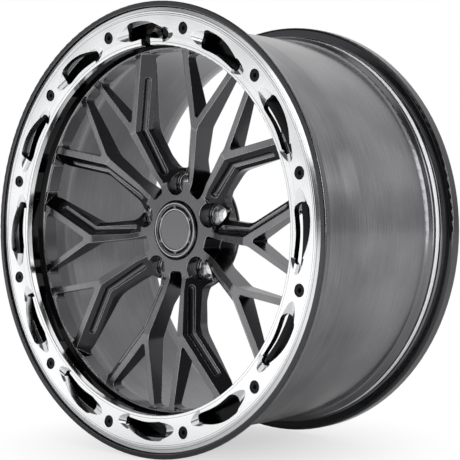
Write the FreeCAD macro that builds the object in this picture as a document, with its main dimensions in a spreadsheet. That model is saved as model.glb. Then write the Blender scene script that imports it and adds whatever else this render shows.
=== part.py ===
import FreeCAD, Part
import math
import os
import Sketcher

# One-piece forged wheel for a 20 inch tyre, with a bolted trim ring, a hub cap and a tyre valve.
# The axle line is Y, the styled face looks towards -Y, one lug hole is at the top (+Z).
# A depth is measured backwards from the front lip plane, a bearing is an angle from +Z towards +X.

size = {
    # rim
    "lip_radius": 271.0,
    "rear_lip_radius": 268.0,
    "rim_width": 272.0,
    "bead_radius": 253.65,
    "barrel_radius": 248.2,
    "barrel_wall": 4.8,
    "lip_depth": 17.0,
    "rear_flange_depth": 254.0,
    # trim ring and the seat it is bolted to
    "ring_outer": 264.0,
    "ring_inner": 220.0,
    "ring_gap": 0.6,
    "ring_seat_depth": 12.4,
    "ring_face_depth": 0.9,
    "ring_bore_depth": 4.9,
    "bolt_circle": 242.4,
    "bolt_count": 12,
    "bolt_hole": 4.5,
    "bolt_shank": 4.0,
    "bolt_head": 6.8,
    "bolt_head_length": 5.0,
    "bolt_pocket": 7.3,
    "bolt_pocket_depth": 8.6,
    "bolt_grip": 14.0,
    "pocket_depth": 24.7,
    "pocket_outer": 246.5,
    "recess_radius": 222.0,
    # spoke disc
    "ledge_radius": 219.0,
    "window_radius": 216.0,
    "ledge_drop": 3.4,
    "spoke_depth": 31.0,
    "bend_depth": 33.1,
    "bend_radius": 129.3,
    "hub_face_depth": 55.6,
    "hub_face_radius": 62.0,
    "spoke_count": 5,
    "rim_back_depth": 44.0,
    # hub
    "pad_depth": 90.0,
    "pad_radius": 76.0,
    "pad_thickness": 5.0,
    "bore_radius": 36.5,
    "cap_bore": 32.0,
    "cap_seat_radius": 35.8,
    "cap_seat_depth": 58.6,
    "cap_stand": 2.3,
    "bore_step_depth": 68.0,
    "lug_circle": 57.15,
    "lug_hole": 7.5,
    "lug_pocket": 14.8,
    "lug_seat_depth": 75.2,
    "lug_cone": 11.4,
    # valve
    "valve_lean": 30.0,
    "valve_reach": 235.5,
    "valve_hole": 5.7,
    "nut_flats": 14.0,
}

doc = FreeCAD.newDocument("forged_wheel")
sheet = doc.addObject("Spreadsheet::Sheet", "Sizes")
for row, (name, value) in enumerate(size.items(), 1):
    sheet.set("A%d" % row, name)
    sheet.set("B%d" % row, str(value))
    sheet.setAlias("B%d" % row, name)
doc.recompute()


class Dim:
    # a number together with the sheet expression that gives it
    def __init__(self, number, text):
        self.number = number
        self.text = text

    def __add__(self, other):
        other = dim(other)
        return Dim(self.number + other.number, "(%s + %s)" % (self.text, other.text))

    def __sub__(self, other):
        other = dim(other)
        return Dim(self.number - other.number, "(%s - %s)" % (self.text, other.text))

    def __mul__(self, other):
        other = dim(other)
        return Dim(self.number * other.number, "(%s * %s)" % (self.text, other.text))


def dim(value):
    if isinstance(value, Dim):
        return value
    if isinstance(value, str):
        return Dim(float(size[value]), "Sizes." + value)
    return Dim(float(value), "%.6g" % value if value >= 0 else "(%.6g)" % value)


def bind(thing, prop, value):
    value = dim(value)
    setattr(thing, prop, value.number)
    thing.setExpression(prop, value.text)


def station(depth, radius, rounding=None):
    # a corner of a turned profile: depth behind the front lip plane and radius
    return dim(depth) - dim("rim_width") * 0.5, dim(radius), rounding


def polar(radius, bearing, rounding=None, side=1):
    # a corner of a face-on outline: radius and bearing
    radius = dim(radius)
    angle = math.radians(bearing)
    return radius * (side * math.sin(angle)), radius * math.cos(angle), rounding


def plane_of(body, role):
    for item in body.Origin.OriginFeatures:
        if item.Role == role:
            return item


def new_body(label):
    body = doc.addObject("PartDesign::Body", label)
    body.Label = label
    return body


def new_sketch(body, name, role, offset=None):
    sketch = body.newObject("Sketcher::SketchObject", name)
    sketch.AttachmentSupport = [(plane_of(body, role), "")]
    sketch.MapMode = "FlatFace"
    if offset is not None:
        sketch.AttachmentOffset = offset
    return sketch


def face_sketch(body, name, depth):
    # a sketch square to the axle, seen from the front
    sketch = new_sketch(body, name, "XZ_Plane")
    sketch.setExpression("AttachmentOffset.Base.z", (dim("rim_width") * 0.5 - depth).text)
    return sketch


def outline(sketch, corners):
    # closed outline through the corners, each with its own rounding radius
    count = len(corners)
    point = [FreeCAD.Vector(c[0].number, c[1].number, 0) for c in corners]
    enter = list(point)
    leave = list(point)
    shapes = []
    arcs = {}
    for i, corner in enumerate(corners):
        if corner[2] is None:
            continue
        radius = dim(corner[2]).number
        before = (point[i - 1] - point[i]).normalize()
        after = (point[(i + 1) % count] - point[i]).normalize()
        half = math.acos(max(-1.0, min(1.0, before.dot(after)))) / 2
        enter[i] = point[i] + before * (radius / math.tan(half))
        leave[i] = point[i] + after * (radius / math.tan(half))
        middle = point[i] + (before + after).normalize() * (radius / math.sin(half))
        forward = before.cross(after).z < 0
        first, last = (enter[i], leave[i]) if forward else (leave[i], enter[i])
        start = math.atan2(first.y - middle.y, first.x - middle.x)
        stop = math.atan2(last.y - middle.y, last.x - middle.x)
        if stop < start:
            stop += 2 * math.pi
        circle = Part.Circle(middle, FreeCAD.Vector(0, 0, 1), radius)
        arcs[i] = (Part.ArcOfCircle(circle, start, stop), forward)
    for i in range(count):
        shapes.append(Part.LineSegment(leave[i], enter[(i + 1) % count]))
    rules = []
    named = []
    arc_index = {}
    for i in arcs:
        arc_index[i] = len(shapes)
        shapes.append(arcs[i][0])
    point_index = {}
    for i in arcs:
        point_index[i] = len(shapes)
        shapes.append(Part.Point(point[i]))
    sketch.addGeometry(shapes, False)
    for i in point_index.values():
        sketch.setConstruction(i, True)
    for i, corner in enumerate(corners):
        last_line = (i - 1) % count
        if i in arcs:
            arc = arc_index[i]
            start, stop = (1, 2) if arcs[i][1] else (2, 1)
            rules.append(Sketcher.Constraint("Tangent", last_line, 2, arc, start))
            rules.append(Sketcher.Constraint("Tangent", arc, stop, i, 1))
            rules.append(Sketcher.Constraint("PointOnObject", point_index[i], 1, last_line))
            rules.append(Sketcher.Constraint("PointOnObject", point_index[i], 1, i))
            named.append((len(rules), "round%d" % i, dim(corner[2])))
            rules.append(Sketcher.Constraint("Radius", arc, dim(corner[2]).number))
            anchor = point_index[i]
        else:
            rules.append(Sketcher.Constraint("Coincident", last_line, 2, i, 1))
            anchor = i
        named.append((len(rules), "along%d" % i, corner[0]))
        rules.append(Sketcher.Constraint("DistanceX", -1, 1, anchor, 1, corner[0].number))
        named.append((len(rules), "across%d" % i, corner[1]))
        rules.append(Sketcher.Constraint("DistanceY", -1, 1, anchor, 1, corner[1].number))
    sketch.addConstraint(rules)
    for index, name, value in named:
        sketch.renameConstraint(index, name)
        sketch.setExpression("Constraints." + name, value.text)


def circles(sketch, items):
    # full circles: centre across, centre up, radius
    for i, (across, up, radius) in enumerate(items):
        across, up, radius = dim(across), dim(up), dim(radius)
        middle = FreeCAD.Vector(across.number, up.number, 0)
        sketch.addGeometry(Part.Circle(middle, FreeCAD.Vector(0, 0, 1), radius.number), False)
        for kind, label, value in (("DistanceX", "along", across), ("DistanceY", "across", up)):
            rule = sketch.addConstraint(Sketcher.Constraint(kind, -1, 1, i, 3, value.number))
            sketch.renameConstraint(rule, "%s%d" % (label, i))
            sketch.setExpression("Constraints.%s%d" % (label, i), value.text)
        rule = sketch.addConstraint(Sketcher.Constraint("Radius", i, radius.number))
        sketch.renameConstraint(rule, "round%d" % i)
        sketch.setExpression("Constraints.round%d" % i, radius.text)


def revolve(body, name, corners, cut=False, offset=None, angle=360.0):
    # turned solid (or turned cut) about the axle line
    sketch = new_sketch(body, name + "_profile", "YZ_Plane", offset)
    outline(sketch, corners)
    doc.recompute()
    kind = "PartDesign::Groove" if cut else "PartDesign::Revolution"
    feature = body.newObject(kind, name)
    feature.Profile = sketch
    feature.Refine = False
    feature.ReferenceAxis = (plane_of(body, "Y_Axis"), [""])
    feature.Angle = angle
    feature.Midplane = angle < 360
    doc.recompute()
    return feature


def pocket(body, name, sketch, length=None):
    feature = body.newObject("PartDesign::Pocket", name)
    feature.Profile = sketch
    feature.Refine = False
    if length is None:
        feature.Type = "ThroughAll"
    else:
        bind(feature, "Length", length)
    doc.recompute()
    return feature


def around(body, name, originals, count):
    pattern = body.newObject("PartDesign::PolarPattern", name)
    pattern.Originals = originals
    pattern.Refine = False
    pattern.Axis = (plane_of(body, "Y_Axis"), [""])
    pattern.Angle = 360.0
    bind_count = dim(count)
    pattern.Occurrences = int(bind_count.number)
    pattern.setExpression("Occurrences", bind_count.text)
    body.Tip = pattern
    doc.recompute()
    return pattern


def report(stage, body):
    print(stage, round(body.Shape.Volume / 1000), "cm3", body.Shape.isValid(), len(body.Shape.Solids))


# forged wheel: rim, spoke disc and hub turned as one section
wheel = new_body("forged_wheel")
inner_barrel = dim("barrel_radius") - "barrel_wall"
pad_front = dim("pad_depth") - "pad_thickness"
pad_root = dim("pad_radius") - 2
revolve(wheel, "section", [
    station(0, dim("ring_outer") + "ring_gap", 0.6),
    station(0, "lip_radius", 1.2),
    station(2.8, "lip_radius", 1.2),
    station("lip_depth", dim("lip_radius") - 4.5, 7),
    station("lip_depth", "bead_radius", 4),
    station(26.5, dim("bead_radius") - 0.8),
    station(28.5, dim("bead_radius") + 0.3, 1.5),
    station(32.5, dim("barrel_radius") + 0.8, 3),
    station(40.0, dim("barrel_radius") - 1.4, 8),
    station(72.0, dim("barrel_radius") - 1.4, 60),
    station(98.0, "barrel_radius", 60),
    station(229.0, "barrel_radius", 8),
    station(236.0, dim("bead_radius") + 0.4, 2.5),
    station(240.0, dim("bead_radius") + 0.4, 0.8),
    station(241.6, dim("bead_radius") - 0.8),
    station("rear_flange_depth", "bead_radius", 3),
    station("rear_flange_depth", "rear_lip_radius", 4),
    station("rim_width", "rear_lip_radius", 2),
    station("rim_width", 259.0, 3),
    station(262.0, 246.0, 12),
    station(250.0, inner_barrel, 30),
    station(92.0, inner_barrel, 30),
    station("rim_back_depth", dim("window_radius") - 4, 6),
    station(62.0, "bend_radius", 80),
    station(70.0, 94.0, 20),
    station(pad_front - 2.5, pad_root, 6),
    station(dim("pad_depth") - 2, pad_root),
    station(dim("pad_depth") - 2, "bore_radius"),
    station("bore_step_depth", "bore_radius"),
    station("bore_step_depth", "cap_bore"),
    station("cap_seat_depth", "cap_bore"),
    station("cap_seat_depth", "cap_seat_radius"),
    station("hub_face_depth", "cap_seat_radius", 1.6),
    station("hub_face_depth", "hub_face_radius", 20),
    station("bend_depth", "bend_radius", 12),
    station("spoke_depth", "ledge_radius", 1.0),
    station("pocket_depth", "recess_radius", 3),
    station("ring_seat_depth", "recess_radius", 0.8),
    station("ring_seat_depth", dim("ring_outer") + "ring_gap", 1.0),
])
report("section", wheel)

# windows through the disc: one around each lug bearing, one midway, two in the forks
lug_half = 36.0


def window(name, corners):
    sketch = face_sketch(wheel, name + "_outline", dim("spoke_depth") - 12)
    outline(sketch, corners)
    doc.recompute()
    return pocket(wheel, name, sketch)


def rim_corner(middle, half, rounding, side=1):
    # bends the window's outer edge round the rim circle
    return polar(dim("window_radius") * (1 / math.cos(math.radians(half))), middle, rounding, side)


lug_window = window("lug_window", [
    polar(77.9, -8.9, 8), polar(129.3, -14.5, 34), polar("window_radius", -5.4, 7),
    rim_corner(0, 5.4, 110),
    polar("window_radius", 5.4, 7), polar(129.3, 14.5, 34), polar(77.9, 8.9, 8)])
mid_window = window("mid_window", [
    polar(51.0, lug_half - 10.5, 5), polar(78.0, lug_half - 9.3, 60), polar(136.0, lug_half - 10.6, 16),
    polar("window_radius", lug_half - 3.2, 6), rim_corner(lug_half, 3.2, 50),
    polar("window_radius", lug_half + 3.2, 6),
    polar(136.0, lug_half + 10.6, 16), polar(78.0, lug_half + 9.3, 60), polar(51.0, lug_half + 10.5, 5)])
fork_windows = []
for side, word in ((1, "right"), (-1, "left")):
    fork_windows.append(window("fork_window_" + word, [
        polar(140.0, 22.8, 3, side), polar("window_radius", 11.5, 7, side),
        rim_corner(21.15, 9.65, 110, side), polar("window_radius", 30.8, 7, side)]))
around(wheel, "windows", [lug_window, mid_window] + fork_windows, "spoke_count")
report("windows", wheel)

# mounting pad: a plain disc behind the hub, which closes the inner ends of the windows midway between the lugs
revolve(wheel, "pad", [
    station(pad_front, dim("bore_radius") + 3), station(pad_front, "pad_radius", 1.0),
    station("pad_depth", "pad_radius", 2.0), station("pad_depth", dim("bore_radius") + 3)])
report("pad", wheel)


def spot(bearing, radius, depth):
    # a point in space from bearing, radius and depth
    angle = math.radians(bearing)
    return FreeCAD.Vector(radius * math.sin(angle), depth - size["rim_width"] / 2, radius * math.cos(angle))


def rod_cut(body, name, start, stop, radius):
    feature = body.newObject("PartDesign::SubtractiveCylinder", name)
    bind(feature, "Radius", radius)
    feature.Refine = False
    feature.Height = (stop - start).Length
    turn = FreeCAD.Rotation(FreeCAD.Vector(0, 0, 1), stop - start)
    feature.Placement = FreeCAD.Placement(start, turn)
    doc.recompute()
    return feature


def ball_groove(body, name, start, stop, radius):
    # the hollow a ball-nosed cutter leaves between two points: a round-ended rod, turned in one piece
    reach = (stop - start).Length
    turn = FreeCAD.Rotation(FreeCAD.Vector(1, 0, 0), stop - start)
    sketch = new_sketch(body, name + "_profile", "XY_Plane", FreeCAD.Placement(start, turn))
    corner = dim(radius) - 0.05
    outline(sketch, [
        (dim(radius) * -1, dim(0), None), (dim(radius) * -1, dim(radius), corner),
        (dim(radius) + reach, dim(radius), corner), (dim(radius) + reach, dim(0), None)])
    doc.recompute()
    feature = body.newObject("PartDesign::Groove", name)
    feature.Profile = sketch
    feature.Refine = False
    feature.ReferenceAxis = (sketch, ["H_Axis"])
    feature.Angle = 360.0
    doc.recompute()
    return feature


# ledge: a chamfer on the rim's edge in each window, between the spoke ends
ledge_corners = [
    station(dim("spoke_depth") - 3, dim("window_radius") - 3),
    station(dim("spoke_depth") - 3, dim("ledge_radius") - 0.8),
    station(dim("spoke_depth") + 0.6, dim("ledge_radius") - 0.8),
    station(dim("spoke_depth") + "ledge_drop", dim("window_radius") - 3)]
ledges = []
for name, middle, spread in (("lug", 0, 10.2), ("mid", lug_half, 5.6), ("right", 21.15, 18.4),
                             ("left", -21.15, 18.4)):
    turn = FreeCAD.Rotation(FreeCAD.Vector(0, 1, 0), middle)
    flat = FreeCAD.Rotation(FreeCAD.Vector(1, 1, 1), 120)
    offset = FreeCAD.Placement(FreeCAD.Vector(), flat.inverted() * turn * flat)
    ledges.append(revolve(wheel, "ledge_" + name, ledge_corners, True, offset, spread))
around(wheel, "ledges", ledges, "spoke_count")
report("ledges", wheel)

# flank: the side of each spoke that faces a lug window slopes away from the narrow front land
flank_top = dim("spoke_depth") - 10
# bearing, radius and front depth of the land's edge, bearing and radius of the flank's foot, fall per millimetre
flank_sections = (
    (20.8, 61.0, 55.5, -1.85, 62.0, 0.9),
    (22.0, 76.0, 50.9, -1.5, 78.0, 0.85),
    (21.4, 129.1, 33.1, 13.1, 129.0, 1.0),
    (9.2, 217.6, 31.4, 4.7, 215.5, 1.0))


def flank_sketch(name, side, section):
    bearing, radius, depth, foot_bearing, foot_radius, fall = section
    edge = spot(side * bearing, radius, 0)
    foot = spot(side * foot_bearing, foot_radius, 0)
    along = FreeCAD.Vector(foot.x - edge.x, foot.z - edge.z, 0)
    reach = along.Length
    turn = FreeCAD.Rotation(along, FreeCAD.Vector(0, 0, 1), FreeCAD.Vector(), "XYZ")
    offset = FreeCAD.Placement(FreeCAD.Vector(edge.x, edge.z, 0), turn)
    sketch = new_sketch(wheel, name, "XZ_Plane", offset)
    front = dim("rim_width") * 0.5
    outline(sketch, [
        (dim(0), front - depth, None), (dim(reach), front - depth - fall * reach, None),
        (dim(reach), front - flank_top, None), (dim(0), front - flank_top, None)])
    return sketch


for side, word in ((1, "right"), (-1, "left")):
    sketches = [flank_sketch("flank_%s_%d" % (word, i), side, section)
                for i, section in enumerate(flank_sections)]
    doc.recompute()
    flank = wheel.newObject("PartDesign::SubtractiveLoft", "flank_" + word)
    flank.Profile = sketches[0]
    flank.Sections = sketches[1:]
    flank.Ruled = True
    flank.Refine = False
    doc.recompute()
    around(wheel, "flanks_" + word, [flank], "spoke_count")
    report("flanks " + word, wheel)

# lug seats: a round pocket for the socket, a cone for the nut and a hole for the stud
socket_sketch = face_sketch(wheel, "lug_pocket_outline", flank_top)
circles(socket_sketch, [(0, "lug_circle", "lug_pocket")])
doc.recompute()
lug_pocket = pocket(wheel, "lug_pocket", socket_sketch, dim("lug_seat_depth") - flank_top)
around(wheel, "lug_pockets", [lug_pocket], "spoke_count")
report("lug pockets", wheel)
seat_sketch = new_sketch(wheel, "lug_seat_profile", "YZ_Plane")
seat_sketch.setExpression("AttachmentOffset.Base.y", dim("lug_circle").text)
cone_length = (dim("lug_cone") - "lug_hole") * math.sqrt(3)
outline(seat_sketch, [
    station("lug_seat_depth", 0), station("lug_seat_depth", "lug_cone"),
    station(dim("lug_seat_depth") + cone_length, "lug_hole"),
    station(dim("pad_depth") + 2, "lug_hole"), station(dim("pad_depth") + 2, 0)])
doc.recompute()
lug_seat = wheel.newObject("PartDesign::Groove", "lug_seat")
lug_seat.Profile = seat_sketch
lug_seat.Refine = False
lug_seat.ReferenceAxis = (seat_sketch, ["H_Axis"])
lug_seat.Angle = 360.0
doc.recompute()
around(wheel, "lug_seats", [lug_seat], "spoke_count")
report("lug seats", wheel)

# groove milled along each flank with a ball cutter, following the bend
groove_radius = 4.6
groove_path = ((16.0, 75.0, 56.8), (17.3, 128.4, 39.8), (9.3, 185.4, 38.3))
for i, (start, stop) in enumerate(zip(groove_path, groove_path[1:])):
    cuts = []
    for side, word in ((1, "right"), (-1, "left")):
        ends = [spot(side * bearing, radius, depth) for bearing, radius, depth in (start, stop)]
        cuts.append(ball_groove(wheel, "groove_%s_%d" % (word, i), ends[0], ends[1], groove_radius - 0.1 * i))
    around(wheel, "grooves_%d" % i, cuts, "spoke_count")
    report("grooves", wheel)

# pockets in the ring seat between the bolt bosses, and the tapped holes in the bosses
bay_sketch = face_sketch(wheel, "seat_pocket_outline", dim("ring_seat_depth") - 2)
outline(bay_sketch, [
    polar(216, -11.2), polar(227, -9.8, 4), polar("pocket_outer", -8.6, 12),
    polar(dim("pocket_outer") * (1 / math.cos(math.radians(8.6))), 0, 140),
    polar("pocket_outer", 8.6, 12), polar(227, 9.8, 4), polar(216, 11.2)])
doc.recompute()
seat_pocket = pocket(wheel, "seat_pocket", bay_sketch, dim("pocket_depth") - "ring_seat_depth" + 2)
thread_sketch = face_sketch(wheel, "thread_outline", dim("ring_seat_depth") - 2)
bolt_bearing = math.radians(15)
bolt_across = dim("bolt_circle") * math.sin(bolt_bearing)
bolt_up = dim("bolt_circle") * math.cos(bolt_bearing)
circles(thread_sketch, [(bolt_across, bolt_up, dim("bolt_shank") + 0.05)])
doc.recompute()
thread = pocket(wheel, "thread", thread_sketch, dim("bolt_grip") + 4)
around(wheel, "seat", [seat_pocket, thread], "bolt_count")
report("seat", wheel)

# valve hole, leaning outwards from the top seat pocket to the tyre side, with a spot face at each end
lean = math.radians(size["valve_lean"])
valve_line = FreeCAD.Vector(0, math.cos(lean), math.sin(lean))
valve_root = spot(0, size["valve_reach"], size["pocket_depth"])
spot_radius = 9.2
spot_front = 5.2
spot_back = 8.6


def along_valve(reach):
    return valve_root + valve_line * reach


backwards = FreeCAD.Rotation(FreeCAD.Vector(1, 0, 0), -90)
rod_cut(wheel, "valve_hole", along_valve(0), along_valve(40), "valve_hole")
rod_cut(wheel, "valve_face_front", along_valve(-16), along_valve(spot_front), spot_radius)
rod_cut(wheel, "valve_face_back", along_valve(spot_back), along_valve(50), spot_radius)
report("valve hole", wheel)

# trim ring: dished face, plain back, bolted on the seat
ring = new_body("trim_ring")
revolve(ring, "ring_section", [
    station("ring_seat_depth", "ring_inner", 0.5),
    station("ring_seat_depth", "ring_outer", 0.8),
    station(2.4, "ring_outer", 0.8),
    station("ring_face_depth", 258.0, 0.6),
    station(1.7, 257.4, 0.4),
    station(1.2, 256.4, 0.4),
    station("ring_bore_depth", "ring_inner", 0.8)])
report("ring section", ring)

# windows between the bolts, wide at one end and narrow at the other, with a ramp at each end
cutter_plane = dim("ring_face_depth") - 6
cutter_length = dim("ring_seat_depth") - cutter_plane + 2
slot_sketch = face_sketch(ring, "ring_window_outline", cutter_plane)
outline(slot_sketch, [
    polar(227.0, -8.2, 9.0), polar(249.6, -7.2, 9.0), polar(251.4, 0.4, 70),
    polar(237.5, 8.8, 4.2), polar(227.0, 8.8, 4.2), polar(229.2, 0.2, 90)])
doc.recompute()
slot = pocket(ring, "ring_window", slot_sketch, cutter_length)
around(ring, "ring_windows", [slot], "bolt_count")
report("ring windows", ring)
ramp_radius = 12.0
ramp = rod_cut(ring, "ramp_wide", spot(-15.5, 236.5, -13.2), spot(-5.0, 237.5, -2.4), ramp_radius)
around(ring, "ramps_wide", [ramp], "bolt_count")
report("ramps wide", ring)
ramp = rod_cut(ring, "ramp_narrow", spot(15.0, 234.5, -13.2), spot(6.5, 231.5, -3.2), ramp_radius)
around(ring, "ramps_narrow", [ramp], "bolt_count")
report("ramps narrow", ring)

# counterbores and clearance holes for the bolts
for name, radius, length in (("counterbore", "bolt_pocket", dim("bolt_pocket_depth") - cutter_plane),
                             ("clearance", "bolt_hole", cutter_length)):
    sketch = face_sketch(ring, name + "_outline", cutter_plane)
    circles(sketch, [(bolt_across, bolt_up, radius)])
    doc.recompute()
    around(ring, name + "s", [pocket(ring, name, sketch, length)], "bolt_count")
    report(name, ring)

# notch that lets the valve through
notch_sketch = face_sketch(ring, "valve_notch_outline", cutter_plane)
outline(notch_sketch, [
    (dim(-7.5), dim(214), None), (dim(7.5), dim(214), None),
    (dim(7.5), dim(234), 2), (dim(-7.5), dim(234), 2)])
doc.recompute()
pocket(ring, "valve_notch", notch_sketch, cutter_length)
report("ring", ring)

# ring bolts: twelve low-head socket screws in one node
screw = new_body("ring_bolt")
head_top = dim("bolt_pocket_depth") - "bolt_head_length"
shank_end = dim("ring_seat_depth") + "bolt_grip"


def turned(depth, radius, rounding=None):
    return depth - dim("rim_width") * 0.5, dim(radius), rounding


revolve(screw, "screw", [
    turned(head_top, 0), turned(head_top, "bolt_head", 0.6),
    turned(dim("bolt_pocket_depth"), "bolt_head"), turned(dim("bolt_pocket_depth"), "bolt_shank"),
    turned(shank_end - 0.8, "bolt_shank"), turned(shank_end, dim("bolt_shank") - 0.8),
    turned(shank_end, 0)])
hex_sketch = face_sketch(screw, "socket_outline", head_top - 2)
outline(hex_sketch, [polar(2.5 / math.cos(math.radians(30)), 60 * i + 30) for i in range(6)])
doc.recompute()
pocket(screw, "socket", hex_sketch, 2 + 2.6)
report("screw", screw)
screw.Visibility = False
bolts = doc.addObject("Part::Feature", "ring_bolts")
bolts.Label = "ring_bolts"
copies = []
for i in range(size["bolt_count"]):
    copy = screw.Shape.copy()
    bearing = 15 + i * 360 / size["bolt_count"]
    copy.Placement = FreeCAD.Placement(spot(bearing, size["bolt_circle"], size["rim_width"] / 2),
                                       FreeCAD.Rotation())
    copies.append(copy)
bolts.Shape = Part.makeCompound(copies)

# hub cap: turned disc pushed into the hub bore, held by a rubber ring; six teeth stand in its sunk band
cap = new_body("hub_cap")
cap_face = dim("hub_face_depth") - "cap_stand"
cap_rim = dim("cap_seat_radius") - 0.3
skirt = dim("cap_bore") - 0.4
ring_groove = 62.2
band_floor = cap_face + 1.5
revolve(cap, "cap_section", [
    turned(cap_face + 0.6, 0), turned(cap_face + 0.6, 23.4), turned(cap_face + 1.1, 23.7),
    turned(cap_face + 1.1, 24.3), turned(cap_face + 0.3, 24.6), turned(cap_face + 0.3, 25.6),
    turned(band_floor, 26.0), turned(band_floor, 29.4), turned(cap_face + 0.5, 29.8),
    turned(cap_face + 0.5, 30.7), turned(cap_face + 1.6, 30.9), turned(cap_face + 1.6, 31.5),
    turned(cap_face, 31.9), turned(cap_face, 32.8), turned(cap_face + 1.4, cap_rim - 0.6),
    turned(dim("cap_seat_depth"), cap_rim), turned(dim("cap_seat_depth"), skirt),
    turned(dim(ring_groove - 1.5), skirt), turned(dim(ring_groove - 1.5), skirt - 2.5),
    turned(dim(ring_groove + 1.5), skirt - 2.5), turned(dim(ring_groove + 1.5), skirt),
    turned(dim(66.5), skirt, 0.8), turned(dim(66.5), 26.0), turned(dim(58.4), 26.0, 1.0),
    turned(dim(58.4), 0)])
report("cap section", cap)
tooth_sketch = face_sketch(cap, "tooth_outline", band_floor + 0.4)
outline(tooth_sketch, [
    (dim(-2.9), dim(25.0), None), (dim(2.9), dim(25.0), None), (dim(0.7), dim(29.1), None),
    (dim(-0.7), dim(29.1), None)])
doc.recompute()
tooth = cap.newObject("PartDesign::Pad", "tooth")
tooth.Profile = tooth_sketch
tooth.Refine = False
bind(tooth, "Length", band_floor + 0.4 - cap_face - 0.4)
doc.recompute()
around(cap, "teeth", [tooth], 6)
report("cap", cap)

# rubber ring in the cap's groove
seal = doc.addObject("Part::Torus", "cap_seal")
seal.Label = "cap_seal"
bind(seal, "Radius2", 1.4)
bind(seal, "Radius1", dim("cap_bore") - 0.05 - 1.4)
seal.Placement = FreeCAD.Placement(spot(0, 0, ring_groove), backwards)

# tyre valve: clamped through the leaning hole, one profile per piece along the valve line
valve_place = FreeCAD.Placement(valve_root, FreeCAD.Rotation(FreeCAD.Vector(1, 0, 0), size["valve_lean"] - 90))


def valve_piece(label, corners):
    body = new_body(label)
    sketch = new_sketch(body, label + "_profile", "XZ_Plane")
    outline(sketch, [(dim(radius), dim(reach), None) for reach, radius in corners])
    doc.recompute()
    feature = body.newObject("PartDesign::Revolution", label + "_turned")
    feature.Profile = sketch
    feature.ReferenceAxis = (plane_of(body, "Z_Axis"), [""])
    feature.Angle = 360
    doc.recompute()
    body.Placement = valve_place
    return body


stem_radius = 4.1
seal_back = spot_back + 2.2
stem = valve_piece("valve_stem", [
    (-13, 0), (-13, 3.6), (-12.5, 3.85), (-3.5, 3.85), (-3.5, stem_radius), (6.0, stem_radius),
    (6.0, 5.3), (seal_back, 5.3), (seal_back, 8.2), (seal_back + 2.4, 8.2),
    (seal_back + 3.4, 6.0), (seal_back + 5.0, 5.0), (seal_back + 5.0, 0)])
grommet = valve_piece("valve_grommet", [
    (spot_back, 5.4), (spot_back, 8.6), (seal_back, 8.6), (seal_back, 5.4)])
nut = new_body("valve_nut")
nut_base = spot_front - 5.2
flange_base = spot_front - 1.0
hexagon_sketch = new_sketch(nut, "hexagon_outline", "XY_Plane", FreeCAD.Placement(
    FreeCAD.Vector(0, 0, nut_base), FreeCAD.Rotation()))
outline(hexagon_sketch, [polar(dim("nut_flats") * (1 / math.sqrt(3)), 60 * i) for i in range(6)])
flange_sketch = new_sketch(nut, "flange_outline", "XY_Plane", FreeCAD.Placement(
    FreeCAD.Vector(0, 0, flange_base), FreeCAD.Rotation()))
circles(flange_sketch, [(0, 0, 8.6)])
bore_sketch = new_sketch(nut, "bore_outline", "XY_Plane", FreeCAD.Placement(
    FreeCAD.Vector(0, 0, spot_front), FreeCAD.Rotation()))
circles(bore_sketch, [(0, 0, stem_radius + 0.1)])
doc.recompute()
for name, sketch, length in (("hexagon", hexagon_sketch, flange_base - nut_base + 0.5),
                             ("flange", flange_sketch, spot_front - flange_base)):
    layer = nut.newObject("PartDesign::Pad", name)
    layer.Profile = sketch
    bind(layer, "Length", length)
    doc.recompute()
pocket(nut, "nut_bore", bore_sketch)
nut.Placement = valve_place
report("valve nut", nut)
valve_cap = valve_piece("valve_cap", [
    (-18.5, 0), (-18.5, 3.6), (-17.5, 4.6), (-15.5, 4.6), (-15.0, 5.0), (-4.5, 5.0), (-4.5, 3.95),
    (-13.4, 3.95), (-13.4, 0)])

# check every piece, then write one file per piece
pieces = [wheel, ring, bolts, cap, seal, stem, grommet, nut, valve_cap]
doc.recompute()
for item in doc.Objects:
    if "Invalid" in item.State or "Error" in item.State:
        raise RuntimeError("bad object " + item.Name)
os.makedirs("parts", exist_ok=True)
for piece in pieces:
    if piece.Shape.isNull() or not piece.Shape.isValid():
        raise RuntimeError("bad shape " + piece.Label)
    piece.Shape.exportStep("parts/%s.step" % piece.Label)
    print(piece.Label, round(piece.Shape.Volume / 1000, 2), "cm3", len(piece.Shape.Solids), piece.Shape.BoundBox)
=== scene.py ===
import math

import bpy
import numpy as np
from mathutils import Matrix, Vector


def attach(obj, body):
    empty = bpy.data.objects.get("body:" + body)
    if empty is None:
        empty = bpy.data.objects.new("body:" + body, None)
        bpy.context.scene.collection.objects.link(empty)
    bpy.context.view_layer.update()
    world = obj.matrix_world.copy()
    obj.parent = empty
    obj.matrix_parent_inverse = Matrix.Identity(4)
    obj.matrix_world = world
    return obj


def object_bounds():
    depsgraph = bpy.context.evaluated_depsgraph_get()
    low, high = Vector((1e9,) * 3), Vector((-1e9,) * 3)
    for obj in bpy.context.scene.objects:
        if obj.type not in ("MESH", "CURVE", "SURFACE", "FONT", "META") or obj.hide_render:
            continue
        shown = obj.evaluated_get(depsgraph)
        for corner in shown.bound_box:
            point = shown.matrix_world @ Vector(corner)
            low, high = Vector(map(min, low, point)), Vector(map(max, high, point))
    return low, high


# Looks for the forged wheel. The axle line is Y, the styled face looks towards -Y, +Z is up.
# Depths are millimetres behind the front lip plane, as in the part's source.

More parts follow.
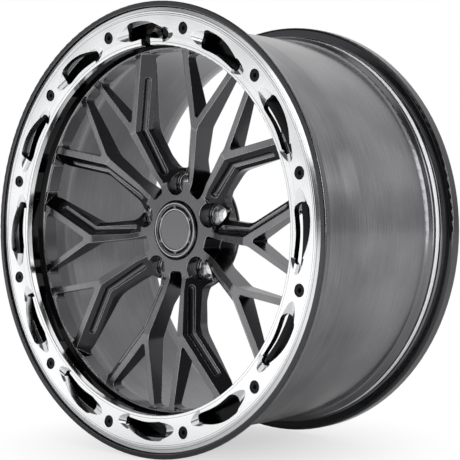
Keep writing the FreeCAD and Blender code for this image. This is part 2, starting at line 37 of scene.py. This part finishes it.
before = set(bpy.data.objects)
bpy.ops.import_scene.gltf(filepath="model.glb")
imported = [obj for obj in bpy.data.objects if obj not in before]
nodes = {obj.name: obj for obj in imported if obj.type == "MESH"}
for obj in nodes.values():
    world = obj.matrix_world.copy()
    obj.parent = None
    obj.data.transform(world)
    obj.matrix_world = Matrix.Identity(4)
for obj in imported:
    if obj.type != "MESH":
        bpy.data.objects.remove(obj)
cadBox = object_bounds()
scene = bpy.context.scene
scene.view_settings.view_transform = "Standard"
mm = 0.001
frontLip = cadBox[0][1]
lugCount = 5
print("frame loaded:", len(nodes), "CAD nodes")


def hexColor(text):
    # sRGB hex text to linear light
    parts = np.array([int(text[i:i + 2], 16) for i in (1, 3, 5)]) / 255.0
    linear = np.where(parts <= 0.04045, parts / 12.92, ((parts + 0.055) / 1.055) ** 2.4)
    return (*linear.tolist(), 1.0)


def addNode(tree, kind, inputs=None, **settings):
    # one node: settings are its properties, inputs are linked sockets or plain values
    node = tree.nodes.new("ShaderNode" + kind)
    for name, value in settings.items():
        setattr(node, name, value)
    for key, value in (inputs or {}).items():
        if isinstance(value, bpy.types.NodeSocket):
            tree.links.new(value, node.inputs[key])
        else:
            node.inputs[key].default_value = value
    return node


def newMaterial(name):
    material = bpy.data.materials.new(name)
    material.use_nodes = True
    return material, material.node_tree, material.node_tree.nodes["Principled BSDF"]


def dress(nodeName, material):
    slots = nodes[nodeName].data.materials
    slots.clear()
    slots.append(material)


def axlePlace(tree):
    # object coordinates, depth behind the front lip and distance from the axle line
    place = addNode(tree, "TexCoord").outputs["Object"]
    split = addNode(tree, "SeparateXYZ", {0: place}).outputs
    depth = addNode(tree, "Math", {0: split[1], 1: frontLip}, operation="SUBTRACT").outputs[0]
    flat = addNode(tree, "CombineXYZ", {0: split[0], 2: split[2]}).outputs[0]
    radius = addNode(tree, "VectorMath", {0: flat}, operation="LENGTH").outputs["Value"]
    return place, depth, radius


# cosines between the rounded and the flat normal at which the painted edge highlight starts and is full
edgeCosines = {"start": 0.985, "full": 0.86, "samples": 6}


def softEdges(tree, edgeRadius):
    # normals rounded over the sharp edges, and a mask that is 1 along them, where a highlight is painted
    rounded = addNode(tree, "Bevel", {"Radius": edgeRadius * mm}, samples=edgeCosines["samples"]).outputs[0]
    flat = addNode(tree, "NewGeometry").outputs["Normal"]
    along = addNode(tree, "VectorMath", {0: rounded, 1: flat}, operation="DOT_PRODUCT").outputs["Value"]
    mask = addNode(tree, "MapRange", {0: along, 1: edgeCosines["start"], 2: edgeCosines["full"]}).outputs[0]
    return rounded, mask


def span(low, high):
    # middle and half width of a span in millimetres, as a Compare node takes them
    return {1: (low + high) / 2 * mm, 2: (high - low) / 2 * mm}


# camera at the photograph's angle, from a fit to the rim's circles
cameraView = {"place": (1.06765, -1.18563, 0.01341), "turn": (89.4995, 0.0, 41.5334),
              "lens": 98.4, "sensor": 36.0}
lens = bpy.data.cameras.new("camera")
lens.lens = cameraView["lens"]
lens.sensor_width = cameraView["sensor"]
camera = bpy.data.objects.new("camera", lens)
camera.location = cameraView["place"]
camera.rotation_euler = [math.radians(a) for a in cameraView["turn"]]
scene.collection.objects.link(camera)
scene.camera = camera
print("camera set")


# forged aluminium, brushed by hand and turned on the barrel, under smoke-tinted lacquer:
# dark grey metal with fine streaks, cloudy soft reflections, and a highlight painted along the edges
# (real brushing is finer, the streaks are drawn coarser so that they show)
smokedAluminium = {
    # the wall and pocket tones are painted shade, the edge tone is a painted highlight
    "light": "#828285", "dark": "#646467", "edge": "#dedee0", "paintedShadeTone": "#47474a", "lip": "#414144",
    "nearBlackShade": "#131314", "machined": "#e2e3e4",
    "roughness": 0.23, "glossRange": (-0.05, 0.06), "coat": 0.25, "coatRoughness": 0.06,
    "streakWidth": 0.55, "streakLength": 45.0, "cloudWidth": 70.0, "edgeRadius": 1.1,
    "grainRange": (0.75, 1.25), "glossGrain": (0.7, 1.3), "bumpStrength": 0.12, "bumpHeight": 0.03,
    "steepCosines": (0.90, 0.78), "hubShade": 0.55, "innerShade": 0.45,
    # radii and depths in millimetres
    "faceRadius": 218.4, "pocketOuter": 248.5, "pocketDepth": (13.2, 30.5), "lipRadius": 256.0,
    "hubReach": (60.0, 84.0), "innerRadius": (218.0, 246.0), "innerDepth": (40.0, 240.0),
    "lugCircle": 57.15, "lugSeat": 12.4, "lugDepth": (74.9, 89.6),
    "seatRadius": 251.0, "seatBand": (242.5, 249.9), "seatGrooves": ((240.2, 242.5), (249.9, 252.2))}


def makeSmokedAluminium(look):
    material, tree, shader = newMaterial("brushed_aluminium_smoke_lacquer")
    place, depth, radius = axlePlace(tree)
    split = addNode(tree, "SeparateXYZ", {0: place}).outputs
    bearing = addNode(tree, "Math", {0: split[0], 1: split[2]}, operation="ARCTAN2").outputs[0]

    # brushing: along the spokes on the face, round the axle elsewhere
    onFace = addNode(tree, "Math", {0: radius, 1: look["faceRadius"] * mm}, operation="LESS_THAN").outputs[0]
    arc = addNode(tree, "Math", {0: bearing, 1: radius}, operation="MULTIPLY").outputs[0]
    fine = 1 / (look["streakWidth"] * mm)
    slow = 1 / (look["streakLength"] * mm)
    turned = addNode(tree, "CombineXYZ", {0: arc, 1: depth, 2: radius}).outputs[0]
    spokeMap = addNode(tree, "Mapping", {0: turned, 3: (fine, fine, slow)}).outputs[0]
    turnMap = addNode(tree, "Mapping", {0: turned, 3: (slow, fine, fine)}).outputs[0]
    streakMap = addNode(tree, "Mix", {0: onFace, 4: turnMap, 5: spokeMap}, data_type="VECTOR").outputs[1]
    streak = addNode(tree, "TexNoise", {0: streakMap, "Scale": 1.0, "Detail": 3.0}).outputs[0]
    cloudMap = addNode(tree, "Mapping", {0: place, 3: [1 / (look["cloudWidth"] * mm)] * 3}).outputs[0]
    cloud = addNode(tree, "TexNoise", {0: cloudMap, "Scale": 1.0, "Detail": 2.0, "Roughness": 0.4}).outputs[0]
    grain = addNode(tree, "Math", {0: streak, 1: cloud}, operation="ADD").outputs[0]
    shade = addNode(tree, "MapRange", {0: grain, 1: look["grainRange"][0],
                                       2: look["grainRange"][1]}).outputs[0]
    rounded, edge = softEdges(tree, look["edgeRadius"])

    # one bare seat round each lug axis: bearings folded into one fifth of a turn
    halfFifth = math.pi / lugCount
    folded = addNode(tree, "Math", {0: bearing, 1: halfFifth, 2: -halfFifth}, operation="WRAP").outputs[0]
    aside = addNode(tree, "Math", {0: folded}, operation="SINE").outputs[0]
    ahead = addNode(tree, "Math", {0: folded}, operation="COSINE").outputs[0]
    lugX = addNode(tree, "Math", {0: aside, 1: radius}, operation="MULTIPLY").outputs[0]
    lugY = addNode(tree, "Math", {0: ahead, 1: radius, 2: -look["lugCircle"] * mm},
                   operation="MULTIPLY_ADD").outputs[0]
    lugPlace = addNode(tree, "CombineXYZ", {0: lugX, 1: lugY}).outputs[0]
    lugReach = addNode(tree, "VectorMath", {0: lugPlace}, operation="LENGTH").outputs["Value"]
    nearLug = addNode(tree, "Math", {0: lugReach, 1: look["lugSeat"] * mm}, operation="LESS_THAN").outputs[0]
    atSeat = addNode(tree, "Math", {0: depth, **span(*look["lugDepth"])}, operation="COMPARE").outputs[0]
    lugSeat = addNode(tree, "Math", {0: nearLug, 1: atSeat}, operation="MULTIPLY").outputs[0]

    # the rear bead seat is bare between two grooves painted near black, partly their own unsanded finish and
    # partly painted shade
    outside = addNode(tree, "Math", {0: radius, 1: look["seatRadius"] * mm},
                      operation="GREATER_THAN").outputs[0]
    atBand = addNode(tree, "Math", {0: depth, **span(*look["seatBand"])}, operation="COMPARE").outputs[0]
    bandOut = addNode(tree, "Math", {0: outside, 1: atBand}, operation="MULTIPLY").outputs[0]
    bare = addNode(tree, "Math", {0: lugSeat, 1: bandOut}, operation="MAXIMUM").outputs[0]
    grooves = [addNode(tree, "Math", {0: depth, **span(*groove)}, operation="COMPARE").outputs[0]
               for groove in look["seatGrooves"]]
    grooved = addNode(tree, "Math", {0: grooves[0], 1: grooves[1]}, operation="ADD").outputs[0]
    grooved = addNode(tree, "Math", {0: grooved, 1: outside}, operation="MULTIPLY").outputs[0]

    # painted shade: the recess behind and under the trim ring is painted near black
    inPocket = addNode(tree, "Math", {0: radius, 1: look["faceRadius"] * mm},
                       operation="GREATER_THAN").outputs[0]
    inside = addNode(tree, "Math", {0: radius, 1: look["pocketOuter"] * mm}, operation="LESS_THAN").outputs[0]
    sunk = addNode(tree, "Math", {0: depth, **span(*look["pocketDepth"])}, operation="COMPARE").outputs[0]
    nearBlackShade = addNode(tree, "Math", {0: inPocket, 1: sunk}, operation="MULTIPLY").outputs[0]
    nearBlackShade = addNode(tree, "Math", {0: nearBlackShade, 1: inside}, operation="MULTIPLY").outputs[0]
    # painted near-black shade in the grooves and the recess
    black = addNode(tree, "Math", {0: grooved, 1: nearBlackShade}, operation="MAXIMUM").outputs[0]

    # painted shade: the hub, the flanks, the windows and the rim's inner wall are painted darker than the
    # front lands, standing in for the dark reflections they show
    facing = addNode(tree, "SeparateXYZ", {0: addNode(tree, "NewGeometry").outputs["Normal"]}).outputs[1]
    squareOn = addNode(tree, "Math", {0: facing}, operation="ABSOLUTE").outputs[0]
    steep = addNode(tree, "MapRange", {0: squareOn, 1: look["steepCosines"][0],
                                       2: look["steepCosines"][1]}).outputs[0]
    paintedShadeMask = addNode(tree, "Math", {0: steep, 1: onFace}, operation="MULTIPLY").outputs[0]
    hub = addNode(tree, "MapRange", {0: radius, 1: look["hubReach"][1] * mm, 2: look["hubReach"][0] * mm,
                                     4: look["hubShade"]}).outputs[0]
    paintedShadeMask = addNode(tree, "Math", {0: paintedShadeMask, 1: hub}, operation="MAXIMUM").outputs[0]
    atInner = addNode(tree, "Math", {0: radius, **span(*look["innerRadius"])}, operation="COMPARE").outputs[0]
    alongInner = addNode(tree, "Math", {0: depth, **span(*look["innerDepth"])},
                         operation="COMPARE").outputs[0]
    inner = addNode(tree, "Math", {0: atInner, 1: alongInner}, operation="MULTIPLY").outputs[0]
    inner = addNode(tree, "Math", {0: inner, 1: look["innerShade"]}, operation="MULTIPLY").outputs[0]
    paintedShadeMask = addNode(tree, "Math", {0: paintedShadeMask, 1: inner}, operation="MAXIMUM").outputs[0]
    lip = addNode(tree, "Math", {0: radius, 1: look["lipRadius"] * mm}, operation="GREATER_THAN").outputs[0]

    color = addNode(tree, "Mix", {0: shade, 6: hexColor(look["dark"]), 7: hexColor(look["light"])},
                    data_type="RGBA").outputs[2]
    # after the grain: painted shade on the walls, hub and inner wall, the darker lip, a painted edge
    # highlight, painted near-black shade in the recess and grooves, and the bare seats
    for mask, tone in ((paintedShadeMask, "paintedShadeTone"), (lip, "lip"), (edge, "edge"), (black, "nearBlackShade"), (bare, "machined")):
        color = addNode(tree, "Mix", {0: mask, 6: color, 7: hexColor(look[tone])},
                        data_type="RGBA").outputs[2]
    tree.links.new(color, shader.inputs["Base Color"])
    gloss = addNode(tree, "MapRange", {0: grain, 1: look["glossGrain"][0], 2: look["glossGrain"][1],
                                       3: look["roughness"] + look["glossRange"][0],
                                       4: look["roughness"] + look["glossRange"][1]}).outputs[0]
    tree.links.new(gloss, shader.inputs["Roughness"])
    bump = addNode(tree, "Bump", {"Height": streak, "Normal": rounded, "Strength": look["bumpStrength"],
                                  "Distance": look["bumpHeight"] * mm})
    tree.links.new(bump.outputs[0], shader.inputs["Normal"])
    shader.inputs["Metallic"].default_value = 1.0
    shader.inputs["Coat Weight"].default_value = look["coat"]
    shader.inputs["Coat Roughness"].default_value = look["coatRoughness"]
    return material


dress("forged_wheel", makeSmokedAluminium(smokedAluminium))


# aluminium turned on a lathe and polished: near white, faint rings from the tool, and a near-white highlight
# painted along the edges
# (the tool's rings are drawn coarser than real ones so that they show)
polishedAluminium = {
    "light": "#eeeff0", "dark": "#e2e3e5", "scored": "#a8a9ab", "edge": "#fbfbfb", "roughness": 0.15,
    "glossRange": (-0.04, 0.05), "grainRange": (0.75, 1.25), "glossGrain": (0.7, 1.3),
    "ringPitch": 0.7, "cloudsPerMetre": 18.0, "edgeRadius": 0.7,
    "scoredRings": (259.4, 254.6, 223.4), "scoredWidth": 0.35, "bumpStrength": 0.03, "bumpHeight": 0.05}


def makePolishedAluminium(look):
    material, tree, shader = newMaterial("turned_polished_aluminium")
    place, depth, radius = axlePlace(tree)
    ringMap = addNode(tree, "CombineXYZ", {0: radius, 1: depth}).outputs[0]
    rings = addNode(tree, "TexNoise", {0: ringMap, "Scale": 1 / (look["ringPitch"] * mm),
                                       "Detail": 2.0}).outputs[0]
    cloud = addNode(tree, "TexNoise", {0: place, "Scale": look["cloudsPerMetre"], "Detail": 2.0}).outputs[0]
    grain = addNode(tree, "Math", {0: rings, 1: cloud}, operation="ADD").outputs[0]
    shade = addNode(tree, "MapRange", {0: grain, 1: look["grainRange"][0],
                                       2: look["grainRange"][1]}).outputs[0]
    rounded, edge = softEdges(tree, look["edgeRadius"])
    color = addNode(tree, "Mix", {0: shade, 6: hexColor(look["dark"]), 7: hexColor(look["light"])},
                    data_type="RGBA").outputs[2]
    for score in look["scoredRings"]:
        line = addNode(tree, "Math", {0: radius, 1: score * mm, 2: look["scoredWidth"] * mm},
                       operation="COMPARE").outputs[0]
        color = addNode(tree, "Mix", {0: line, 6: color, 7: hexColor(look["scored"])},
                        data_type="RGBA").outputs[2]
    # a highlight painted along the edges
    color = addNode(tree, "Mix", {0: edge, 6: color, 7: hexColor(look["edge"])}, data_type="RGBA").outputs[2]
    tree.links.new(color, shader.inputs["Base Color"])
    gloss = addNode(tree, "MapRange", {0: grain, 1: look["glossGrain"][0], 2: look["glossGrain"][1],
                                       3: look["roughness"] + look["glossRange"][0],
                                       4: look["roughness"] + look["glossRange"][1]}).outputs[0]
    tree.links.new(gloss, shader.inputs["Roughness"])
    bump = addNode(tree, "Bump", {"Height": rings, "Normal": rounded, "Strength": look["bumpStrength"],
                                  "Distance": look["bumpHeight"] * mm})
    tree.links.new(bump.outputs[0], shader.inputs["Normal"])
    shader.inputs["Metallic"].default_value = 1.0
    return material


dress("trim_ring", makePolishedAluminium(polishedAluminium))


# small parts share one recipe: a fine grain between two colours, drawn coarser than real, and a highlight
# painted along the edges black oxide on steel is blue-black and oily, moulded rubber is matt, black anodising
# is satin, nickel plate on brass is a warm grey shine, bare knurling is pale and dull,
# and the turned cap is smoked grey with painted highlight rings and black sunk bands
smallPartFinishes = {
    "black_oxide_steel": {"dark": "#08080a", "light": "#19191c", "edge": "#3a3a3e", "roughness": 0.34,
                          "grit": 0.4, "metallic": 0.6, "edgeRadius": 0.35},
    "moulded_rubber": {"dark": "#101010", "light": "#1b1b1b", "edge": "#202020", "roughness": 0.62,
                       "grit": 0.6, "metallic": 0.0, "edgeRadius": 0.3},
    "black_anodised_aluminium": {"dark": "#0b0b0c", "light": "#1d1d20", "edge": "#4a4a4e", "roughness": 0.28,
                                 "grit": 0.3, "metallic": 0.8, "edgeRadius": 0.3},
    "nickel_plated_brass": {"dark": "#6f6d69", "light": "#8b8984", "edge": "#c9c7c2", "roughness": 0.24,
                            "grit": 0.3, "metallic": 1.0, "edgeRadius": 0.3},
    "knurled_bare_aluminium": {"dark": "#e4e5e6", "light": "#f6f6f7", "edge": "#ffffff", "roughness": 0.5,
                               "grit": 0.5, "metallic": 0.2, "edgeRadius": 0.1},
    # the cap's bright rings are painted highlights
    "turned_smoked_aluminium": {"dark": "#626265", "light": "#77777a", "edge": "#f2f2f3", "roughness": 0.24,
                                "grit": 0.5, "metallic": 1.0, "edgeRadius": 0.45, "sunk": (54.2, "#101011"),
                                "rings": (32.35, 25.1), "highlightRingWidth": 0.55, "highlightRingTone": "#bdbdc0"}}
grainLook = {"glossSwing": 0.08, "bumpStrength": 0.1, "bumpHeight": 0.05}


def makeGrained(name, look):
    material, tree, shader = newMaterial(name)
    place, depth, radius = axlePlace(tree)
    gritMap = addNode(tree, "Mapping", {0: place, 3: [1 / (look["grit"] * mm)] * 3}).outputs[0]
    speck = addNode(tree, "TexNoise", {0: gritMap, "Scale": 1.0, "Detail": 3.0}).outputs[0]
    rounded, edge = softEdges(tree, look["edgeRadius"])
    color = addNode(tree, "Mix", {0: speck, 6: hexColor(look["dark"]), 7: hexColor(look["light"])},
                    data_type="RGBA").outputs[2]
    if "sunk" in look:
        below, tone = look["sunk"]
        deep = addNode(tree, "Math", {0: depth, 1: below * mm}, operation="GREATER_THAN").outputs[0]
        color = addNode(tree, "Mix", {0: deep, 6: color, 7: hexColor(tone)}, data_type="RGBA").outputs[2]
    # highlight rings painted at the given radii, standing in for light caught on the cap's rounded rings
    for ring in look.get("rings", ()):
        line = addNode(tree, "Math", {0: radius, 1: ring * mm, 2: look["highlightRingWidth"] * mm},
                       operation="COMPARE").outputs[0]
        color = addNode(tree, "Mix", {0: line, 6: color, 7: hexColor(look["highlightRingTone"])},
                        data_type="RGBA").outputs[2]
    # a highlight painted along the edges
    color = addNode(tree, "Mix", {0: edge, 6: color, 7: hexColor(look["edge"])}, data_type="RGBA").outputs[2]
    tree.links.new(color, shader.inputs["Base Color"])
    gloss = addNode(tree, "MapRange", {0: speck, 3: look["roughness"] - grainLook["glossSwing"],
                                       4: look["roughness"] + grainLook["glossSwing"]})
    tree.links.new(gloss.outputs[0], shader.inputs["Roughness"])
    bump = addNode(tree, "Bump", {"Height": speck, "Normal": rounded, "Strength": grainLook["bumpStrength"],
                                  "Distance": grainLook["bumpHeight"] * mm})
    tree.links.new(bump.outputs[0], shader.inputs["Normal"])
    shader.inputs["Metallic"].default_value = look["metallic"]
    return material


grained = {name: makeGrained(name, look) for name, look in smallPartFinishes.items()}
dress("ring_bolts", grained["black_oxide_steel"])
dress("cap_seal", grained["moulded_rubber"])
dress("valve_grommet", grained["moulded_rubber"])
dress("valve_cap", grained["black_anodised_aluminium"])
dress("valve_nut", grained["nickel_plated_brass"])
dress("valve_stem", grained["nickel_plated_brass"])
dress("hub_cap", grained["turned_smoked_aluminium"])
print("materials done:", len(bpy.data.materials))


# knurled band on the rear bead seat: it grips the tyre, and its bare metal shows as a bright line
# drawn coarser than the real one, so that it shows
knurlLook = {"front": 242.6, "back": 249.8, "radius": 253.1,
             "base": 0.15, "rise": 0.5, "sunk": 0.6, "taper": 0.4,
             "ridges": 840, "steps": 4, "rows": 13, "crossings": 3, "rimSteepness": 8}


def knurlBand(look):
    # radius = seat + taper along the band + crossed waves; both rims dip under the seat and meet behind it
    turns = np.linspace(0, 2 * np.pi, look["ridges"] * look["steps"], endpoint=False)
    along = np.linspace(0, 1, look["rows"])
    angle, reach = np.meshgrid(turns, along, indexing="ij")
    cross = np.pi * look["crossings"] * reach
    wave = np.cos(angle * look["ridges"] / 2 + cross) * np.cos(angle * look["ridges"] / 2 - cross)
    rim = np.clip(np.minimum(reach, 1 - reach) * look["rimSteepness"], 0, 1)
    lift = rim * (look["base"] + look["rise"] * wave ** 2) - (1 - rim) * look["sunk"]
    radius = (look["radius"] + look["taper"] * reach + lift) * mm
    depth = frontLip + (look["front"] + (look["back"] - look["front"]) * reach) * mm
    points = np.stack([radius * np.sin(angle), depth, radius * np.cos(angle)], axis=-1).reshape(-1, 3)
    count, rows = angle.shape
    index = np.arange(count * rows).reshape(count, rows)
    after = np.roll(index, -1, axis=0)
    corners = [index, after, np.roll(after, -1, axis=1), np.roll(index, -1, axis=1)]
    faces = np.stack(corners, axis=-1).reshape(-1, 4)
    mesh = bpy.data.meshes.new("bead_knurl")
    mesh.from_pydata(points.tolist(), [], faces.tolist())
    mesh.polygons.foreach_set("use_smooth", np.ones(len(mesh.polygons), dtype=bool))
    mesh.materials.append(grained["knurled_bare_aluminium"])
    band = bpy.data.objects.new("bead_knurl", mesh)
    scene.collection.objects.link(band)
    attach(band, "root")
    return band


band = knurlBand(knurlLook)
print("knurled band:", len(band.data.polygons), "faces")


# pale floor under the lip: it keeps the shadow near the wheel and runs out to white
studio = {"floorSize": 12.0, "floorGap": 0.0005, "floor": "#f4f4f4", "floorRoughness": 0.9,
          "cameraFade": (0.10, 0.42), "mirrorFade": (0.25, 0.9),
          "room": 0.06, "backdrop": 0.72, "backdropEdge": (0.05, 0.55),
          "skyBase": 0.9, "skyRise": 0.75, "fill": 0.45}
floorMesh = bpy.data.meshes.new("floor")
corners = np.array([(-1, -1), (1, -1), (1, 1), (-1, 1)]) * studio["floorSize"]
floorLevel = np.full(4, cadBox[0][2] - studio["floorGap"])
floorMesh.from_pydata(np.c_[corners, floorLevel].tolist(), [], [(0, 1, 2, 3)])
floor = bpy.data.objects.new("floor", floorMesh)
scene.collection.objects.link(floor)
floorPaint, tree, shader = newMaterial("studio_floor_paint")
shader.inputs["Base Color"].default_value = hexColor(studio["floor"])
shader.inputs["Roughness"].default_value = studio["floorRoughness"]
shader.inputs["Specular IOR Level"].default_value = 0.0
place = addNode(tree, "TexCoord").outputs["Object"]
spread = addNode(tree, "VectorMath", {0: place}, operation="LENGTH").outputs["Value"]
path = addNode(tree, "LightPath").outputs
shares = []
for fade, rays in ((studio["cameraFade"], ("Is Camera Ray",)),
                   (studio["mirrorFade"], ("Is Glossy Ray", "Is Transmission Ray"))):
    ramp = addNode(tree, "MapRange", {0: spread, 1: fade[0], 2: fade[1]},
                   interpolation_type="SMOOTHSTEP").outputs[0]
    seen = addNode(tree, "Math", {0: path[rays[0]], 1: path[rays[-1]]}, operation="MAXIMUM").outputs[0]
    shares.append(addNode(tree, "Math", {0: ramp, 1: seen}, operation="MULTIPLY").outputs[0])
share = addNode(tree, "Math", {0: shares[0], 1: shares[1]}, operation="MAXIMUM").outputs[0]
white = addNode(tree, "Emission", {"Strength": 1.0}).outputs[0]
mixed = addNode(tree, "MixShader", {0: share, 1: shader.outputs[0], 2: white}).outputs[0]
tree.links.new(mixed, tree.nodes["Material Output"].inputs[0])
floorMesh.materials.append(floorPaint)

# world: white to the camera, to the metal a white backdrop behind the wheel in a dim room,
# and an even fill to matt surfaces
world = bpy.data.worlds.new("studio")
scene.world = world
world.use_nodes = True
tree = world.node_tree
heading = addNode(tree, "TexCoord").outputs["Generated"]
towards = addNode(tree, "SeparateXYZ", {0: heading}).outputs
backdrop = addNode(tree, "MapRange", {0: towards[1],
                                      1: studio["backdropEdge"][0], 2: studio["backdropEdge"][1],
                                      3: studio["room"], 4: studio["backdrop"]},
                   interpolation_type="SMOOTHSTEP").outputs[0]
rise = addNode(tree, "Math", {0: towards[2], 1: studio["skyRise"], 2: studio["skyBase"]},
               operation="MULTIPLY_ADD").outputs[0]
backdrop = addNode(tree, "Math", {0: backdrop, 1: rise}, operation="MULTIPLY").outputs[0]
path = addNode(tree, "LightPath").outputs
seen = addNode(tree, "Math", {0: path["Is Camera Ray"], 1: path["Is Transmission Ray"]},
               operation="MAXIMUM").outputs[0]
level = addNode(tree, "Mix", {0: path["Is Glossy Ray"], 2: studio["fill"], 3: backdrop},
                data_type="FLOAT").outputs[0]
level = addNode(tree, "Mix", {0: seen, 2: level, 3: 1.0}, data_type="FLOAT").outputs[0]
tree.links.new(level, tree.nodes["Background"].inputs[1])
tree.nodes["Background"].inputs[0].default_value = (1, 1, 1, 1)

# soft boxes: radiance is power / (pi * area)
softBoxes = {
    "left_front": {"place": (-1.7, -1.9, 0.35), "aim": (0, 0, 0), "size": (2.4, 2.4), "power": 14.0},
    "overhead": {"place": (0.3, -0.5, 2.3), "aim": (0, 0, 0), "size": (1.8, 1.2), "power": 6.0},
    "right_side": {"place": (2.2, 0.36, 0.4), "aim": (0, 0, 0), "size": (1.6, 2.0), "power": 28.0},
    "front": {"place": (-0.2, -2.6, 0.9), "aim": (0, 0, 0), "size": (1.0, 0.8), "power": 4.0},
    "right_back": {"place": (2.2, 1.6, 1.1), "aim": (0, 0.1, 0), "size": (1.6, 0.8), "power": 2.5}}
for name, box in softBoxes.items():
    lamp = bpy.data.lights.new(name, "AREA")
    lamp.shape = "RECTANGLE"
    lamp.size, lamp.size_y = box["size"]
    lamp.energy = box["power"]
    holder = bpy.data.objects.new(name, lamp)
    holder.location = box["place"]
    aim = np.array(box["aim"]) - np.array(box["place"])
    tilt = math.atan2(math.hypot(aim[0], aim[1]), -aim[2])
    holder.rotation_euler = (tilt, 0.0, math.atan2(-aim[0], aim[1]))
    scene.collection.objects.link(holder)
print("studio set")
